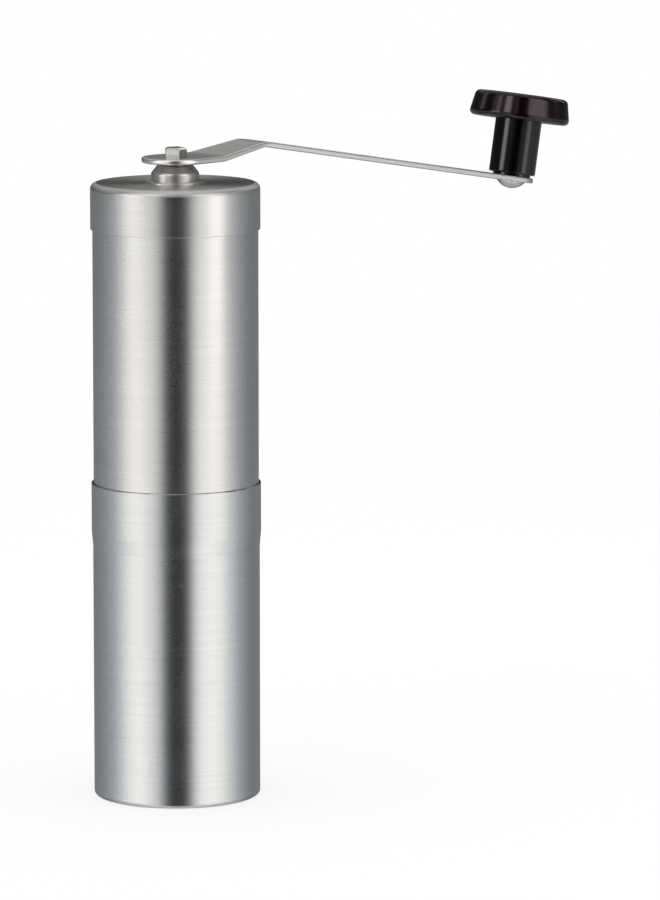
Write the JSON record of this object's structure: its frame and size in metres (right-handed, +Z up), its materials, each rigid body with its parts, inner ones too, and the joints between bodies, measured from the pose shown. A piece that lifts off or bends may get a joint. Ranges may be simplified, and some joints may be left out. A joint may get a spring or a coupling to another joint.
{
  "type": "hand crank coffee grinder",
  "caption": "Tall cylindrical steel hand coffee grinder with catch cup, spun lid, conical burrs, grind adjuster and a lift-off bent crank with a turning knob.",
  "frame": {"origin": "middle of the cup's flat base, on the shaft's axis", "axes": "+Z up along the shaft, +X along the crank"},
  "size_m": [0.1761, 0.0502, 0.2033],
  "materials": {
    "tube_steel": "vertical reflections with fine brushing around the tube",
    "cup_steel": "fine brushing around the cup",
    "lid_steel": "spun top, brushed skirt",
    "bush_steel": "polished",
    "shaft_steel": "turned and polished",
    "crank_steel": "satin with rounded edges",
    "clip_steel": "spring steel",
    "bridge_steel": "pressed steel",
    "bush_nylon": "natural nylon",
    "housing_plastic": "fine moulded grain",
    "burr_ceramic": "white sintered ceramic",
    "screw_steel": "bright screws",
    "insert_brass": "turned brass",
    "stem_plastic": "polished black",
    "cap_plastic": "polished, black with a red-brown cast"
  },
  "bodies": {
    "cup": {"catch_cup": "cup_steel"},
    "housing": {"hopper_tube": "tube_steel", "bridge": "bridge_steel", "bridge_bush": "bush_nylon", "burr_housing": "housing_plastic", "housing_bush": "bush_nylon", "ring_burr": "burr_ceramic", "burr_screws": "screw_steel"},
    "lid": {"lid": "lid_steel", "lid_bush": "bush_steel", "lid_push_ring": "clip_steel"},
    "shaft": {"drive_shaft": "shaft_steel", "upper_washer": "clip_steel", "upper_circlip": "clip_steel", "lower_washer": "clip_steel", "lower_circlip": "clip_steel", "spring_washer": "clip_steel", "burr_spring": "clip_steel"},
    "burr_carriage": {"inner_burr": "burr_ceramic", "click_plate": "clip_steel"},
    "adjuster": {"adjust_nut": "housing_plastic", "adjust_insert": "insert_brass"},
    "crank": {"crank_arm": "crank_steel", "knob_pin": "screw_steel", "knob_washer": "stem_plastic", "knob_pin_clip": "clip_steel"},
    "knob": {"knob_stem": "stem_plastic", "knob_cap": "cap_plastic"}
  },
  "joints": [
    {"name": "tube_lift", "type": "slide", "parent": "cup", "child": "housing", "axis": [0, 0, 1], "range_m": [0, 0.05]},
    {"name": "crank_spin", "type": "hinge", "parent": "housing", "child": "shaft", "pos_m": [0, 0, 0.13], "axis": [0, 0, 1], "continuous": true},
    {"name": "crank_lift", "type": "slide", "parent": "shaft", "child": "crank", "axis": [0, 0, 1], "range_m": [0, 0.08]},
    {"name": "knob_spin", "type": "hinge", "parent": "crank", "child": "knob", "pos_m": [0.1325, 0, 0.17549], "axis": [0.1685, 0, 0.9857], "continuous": true},
    {"name": "lid_lift", "type": "slide", "parent": "housing", "child": "lid", "axis": [0, 0, 1], "range_m": [0, 0.04]},
    {"name": "burr_shift", "type": "slide", "parent": "shaft", "child": "burr_carriage", "axis": [0, 0, 1], "range_m": [-0.0004, 0.0004], "deforming": ["burr_spring"]},
    {"name": "adjust_turn", "type": "hinge", "parent": "burr_carriage", "child": "adjuster", "pos_m": [0, 0, 0.0728], "axis": [0, 0, 1], "range_deg": [-180, 180]}
  ],
  "couplings": [
    {"joint": "lid_lift", "follows": "crank_lift", "ratio": 0.5},
    {"joint": "adjust_turn", "follows": "burr_shift", "rad_per_m": 7854}
  ]
}
